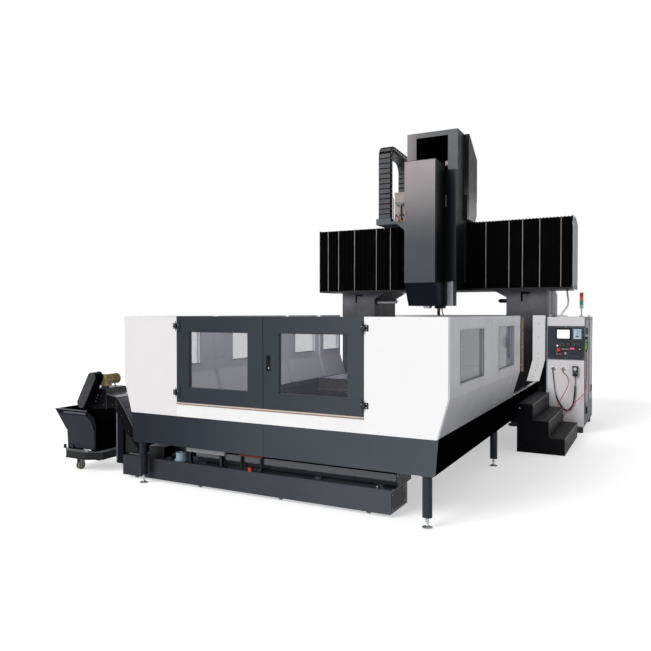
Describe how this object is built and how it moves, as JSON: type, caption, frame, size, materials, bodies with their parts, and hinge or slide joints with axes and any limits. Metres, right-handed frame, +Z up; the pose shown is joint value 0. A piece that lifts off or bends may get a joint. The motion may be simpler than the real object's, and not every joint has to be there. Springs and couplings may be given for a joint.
{
  "type": "gantry machining center",
  "caption": "Gantry machining center: moving table on a long bed, two columns, crossbeam with bellows, saddle, ram and spindle, in an open-topped guard with chip conveyor.",
  "frame": {"origin": "on the floor, at the machine's middle plane, under the line of the spindle's front-to-back position, on the underside of the bed's centre pad", "axes": "+X to the operator's right seen from the front doors, +Y to the rear along the table's travel, +Z up"},
  "size_m": [5.615, 8.175, 4.8728],
  "materials": {
    "white_panel": "satin",
    "dark_panel": "satin",
    "head_paint": "semi-gloss",
    "cast_paint": "satin",
    "bright_steel": "satin",
    "table_iron": "machined",
    "bellows_skin": "matt",
    "chain_plastic": "satin",
    "window_glass": "clear",
    "black_steel": "semi-gloss",
    "pump_paint": "gloss",
    "motor_paint": "gloss",
    "panel_face": "satin",
    "key_plastic": "gloss",
    "black_rubber": "matt",
    "red_rubber": "satin",
    "gun_green": "gloss",
    "lamp_plastic": "gloss",
    "grey_conduit": "satin"
  },
  "bodies": {
    "frame": {"bed": "cast_paint", "bed_pads": "bright_steel", "bed_rails": "bright_steel", "table_screw": "bright_steel", "column_left": "cast_paint", "column_right": "cast_paint", "crossbeam": "cast_paint", "beam_rails": "bright_steel", "beam_end_covers": "cast_paint", "bellows_left": "bellows_skin", "bellows_right": "bellows_skin", "front_panel_left": "white_panel", "front_panel_right": "white_panel", "front_sill": "white_panel", "skirts": "dark_panel", "left_wall": "white_panel", "right_wall": "white_panel", "wall_strip": "white_panel", "side_windows": "window_glass", "chip_pan": "bright_steel", "rear_wall_left": "white_panel", "rear_wall_right": "white_panel", "rear_panel": "white_panel", "guard_legs": "dark_panel", "grab_rail": "bright_steel", "door_hinges": "black_steel", "coolant_tank": "dark_panel", "tank_casters": "black_steel", "coolant_pump": "pump_paint", "conveyor_trough": "dark_panel", "conveyor_incline": "dark_panel", "conveyor_guard": "dark_panel", "conveyor_motor": "motor_paint", "conveyor_leg": "dark_panel", "cart_hopper": "dark_panel", "cart_frame": "dark_panel", "stairs": "black_steel", "control_cabinet": "white_panel", "operator_panel": "panel_face", "control_keys": "key_plastic", "tower_light": "lamp_plastic", "pendant": "black_rubber", "pendant_cord": "black_rubber", "air_gun": "gun_green", "air_hose": "red_rubber", "beam_conduit": "grey_conduit"},
    "door_left": {"door_left": "dark_panel", "door_windows_left": "window_glass"},
    "door_right": {"door_right": "dark_panel", "door_windows_right": "window_glass"},
    "cabinet_door": {"cabinet_door": "black_steel"},
    "table": {"table": "table_iron", "table_carriages": "bright_steel"},
    "saddle": {"saddle": "cast_paint", "head_cover": "head_paint", "rear_cover": "head_paint", "drag_chain": "chain_plastic"},
    "ram": {"ram": "head_paint", "ram_cover": "head_paint"},
    "spindle": {"spindle": "bright_steel"}
  },
  "joints": [
    {"name": "door_left_hinge", "type": "hinge", "parent": "frame", "child": "door_left", "pos_m": [-1.105, -4.664, 1.4], "axis": [0, 0, -1], "range_deg": [0, 110]},
    {"name": "door_right_hinge", "type": "hinge", "parent": "frame", "child": "door_right", "pos_m": [1.065, -4.664, 1.4], "axis": [0, 0, 1], "range_deg": [0, 110]},
    {"name": "cabinet_door_hinge", "type": "hinge", "parent": "frame", "child": "cabinet_door", "pos_m": [2.429, 1.065, 1], "axis": [0, 0, -1], "range_deg": [0, 110]},
    {"name": "table_travel", "type": "slide", "parent": "frame", "child": "table", "axis": [0, 1, 0], "range_m": [-1.3, 1.7]},
    {"name": "saddle_travel", "type": "slide", "parent": "frame", "child": "saddle", "axis": [1, 0, 0], "range_m": [-1.225, 0.975], "deforming": ["bellows_left", "bellows_right"]},
    {"name": "ram_travel", "type": "slide", "parent": "saddle", "child": "ram", "axis": [0, 0, 1], "range_m": [-0.8, 0.15]},
    {"name": "spindle_turn", "type": "hinge", "parent": "ram", "child": "spindle", "pos_m": [0.125, 0, 2], "axis": [0, 0, 1], "continuous": true}
  ]
}
